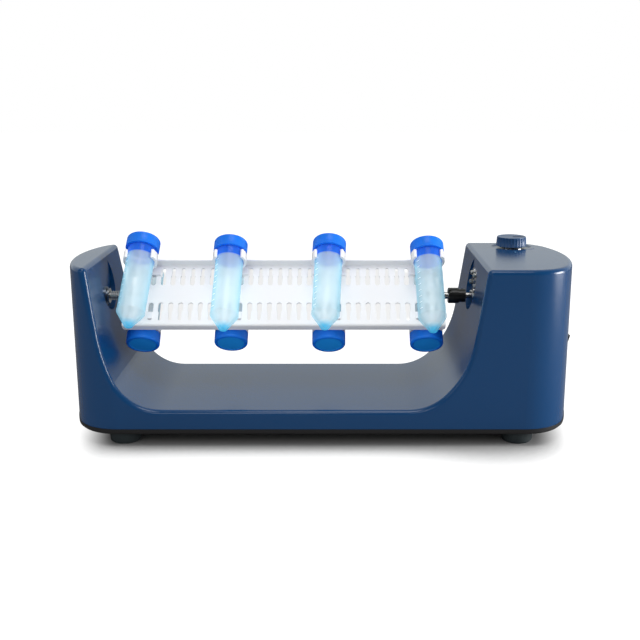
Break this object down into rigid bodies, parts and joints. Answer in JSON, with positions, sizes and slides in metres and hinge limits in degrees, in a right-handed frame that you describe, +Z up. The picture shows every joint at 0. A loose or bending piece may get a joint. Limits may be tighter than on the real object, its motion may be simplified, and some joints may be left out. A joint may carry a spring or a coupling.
{
  "type": "tube rotator mixer",
  "caption": "Bench tube rotator: slotted plate with clipped screw-cap tubes turns between two towers of a U-shaped housing with a speed knob and rocker switch.",
  "frame": {"origin": "middle of the whole footprint, on the bench plane under the feet", "axes": "+X along the rotor axis towards the motor tower, +Y away from the operator, +Z up"},
  "size_m": [0.506, 0.167, 0.198],
  "materials": {
    "housing_paint": "gloss",
    "base_black": "satin",
    "rubber": "matte",
    "zinc_steel": "zinc plated",
    "bright_washer": "bright",
    "gearhead_metal": "die cast",
    "motor_steel": "satin",
    "motor_plastic": "matte",
    "brass": "satin",
    "shaft_steel": "ground",
    "coupling_black": "satin",
    "plate_white": "powder coat",
    "bush_steel": "satin",
    "knob_blue": "satin",
    "pot_metal": "satin",
    "switch_black": "satin",
    "rocker_black": "gloss",
    "inlet_black": "matte",
    "board_green": "solder mask",
    "board_parts": "matte",
    "tube_clear": "translucent",
    "cap_blue": "satin",
    "clip_white": "gloss"
  },
  "bodies": {
    "stand": {"housing": "housing_paint", "base_plate": "base_black", "base_screws": "zinc_steel", "foot_front_left": "rubber", "foot_front_right": "rubber", "foot_rear_left": "rubber", "foot_rear_right": "rubber", "gearhead_case": "gearhead_metal", "motor_can": "motor_steel", "motor_end_cap": "motor_plastic", "motor_terminals": "brass", "motor_screws": "zinc_steel", "motor_washers": "bright_washer", "idler_bush": "bush_steel", "bush_nut": "bush_steel", "spring_washer": "bright_washer", "return_spring": "shaft_steel", "pot_body": "pot_metal", "pot_nut": "bright_washer", "switch_body": "switch_black", "power_inlet": "inlet_black", "inlet_metal": "brass", "control_board": "board_green", "board_parts": "board_parts", "board_fixings": "zinc_steel"},
    "drive": {"drive_shaft": "shaft_steel", "coupling": "coupling_black", "grub_screw": "zinc_steel"},
    "rotor": {"rotor_plate": "plate_white", "drive_stub": "shaft_steel", "drive_pin": "shaft_steel", "idler_stub": "shaft_steel", "stub_screws": "zinc_steel", "tube_front_1": "tube_clear", "tube_front_2": "tube_clear", "tube_front_3": "tube_clear", "tube_front_4": "tube_clear", "tube_rear_1": "tube_clear", "tube_rear_2": "tube_clear", "tube_rear_3": "tube_clear", "tube_rear_4": "tube_clear", "cap_front_1": "cap_blue", "cap_front_2": "cap_blue", "cap_front_3": "cap_blue", "cap_front_4": "cap_blue", "cap_rear_1": "cap_blue", "cap_rear_2": "cap_blue", "cap_rear_3": "cap_blue", "cap_rear_4": "cap_blue", "clip_front_1": "clip_white", "clip_front_2": "clip_white", "clip_front_3": "clip_white", "clip_front_4": "clip_white", "clip_rear_1": "clip_white", "clip_rear_2": "clip_white", "clip_rear_3": "clip_white", "clip_rear_4": "clip_white"},
    "knob": {"speed_knob": "knob_blue", "pot_shaft": "shaft_steel"},
    "switch_rocker": {"rocker": "rocker_black"}
  },
  "joints": [
    {"name": "drive_spin", "type": "hinge", "parent": "stand", "child": "drive", "pos_m": [0.13745, 0, 0.132], "axis": [1, 0, 0], "continuous": true},
    {"name": "rotor_release", "type": "slide", "parent": "drive", "child": "rotor", "axis": [1, 0, 0], "range_m": [-0.0035, 0], "stiffness_N_per_m": 400, "springref_m": 0.015, "deforming": ["return_spring"]},
    {"name": "knob_turn", "type": "hinge", "parent": "stand", "child": "knob", "pos_m": [0.19895, 0.054, 0.178], "axis": [0, 0, 1], "range_deg": [-60, 240]},
    {"name": "rocker_tilt", "type": "hinge", "parent": "stand", "child": "switch_rocker", "pos_m": [0.24745, 0, 0.084], "axis": [0, 1, 0], "range_deg": [-16, 0]}
  ]
}
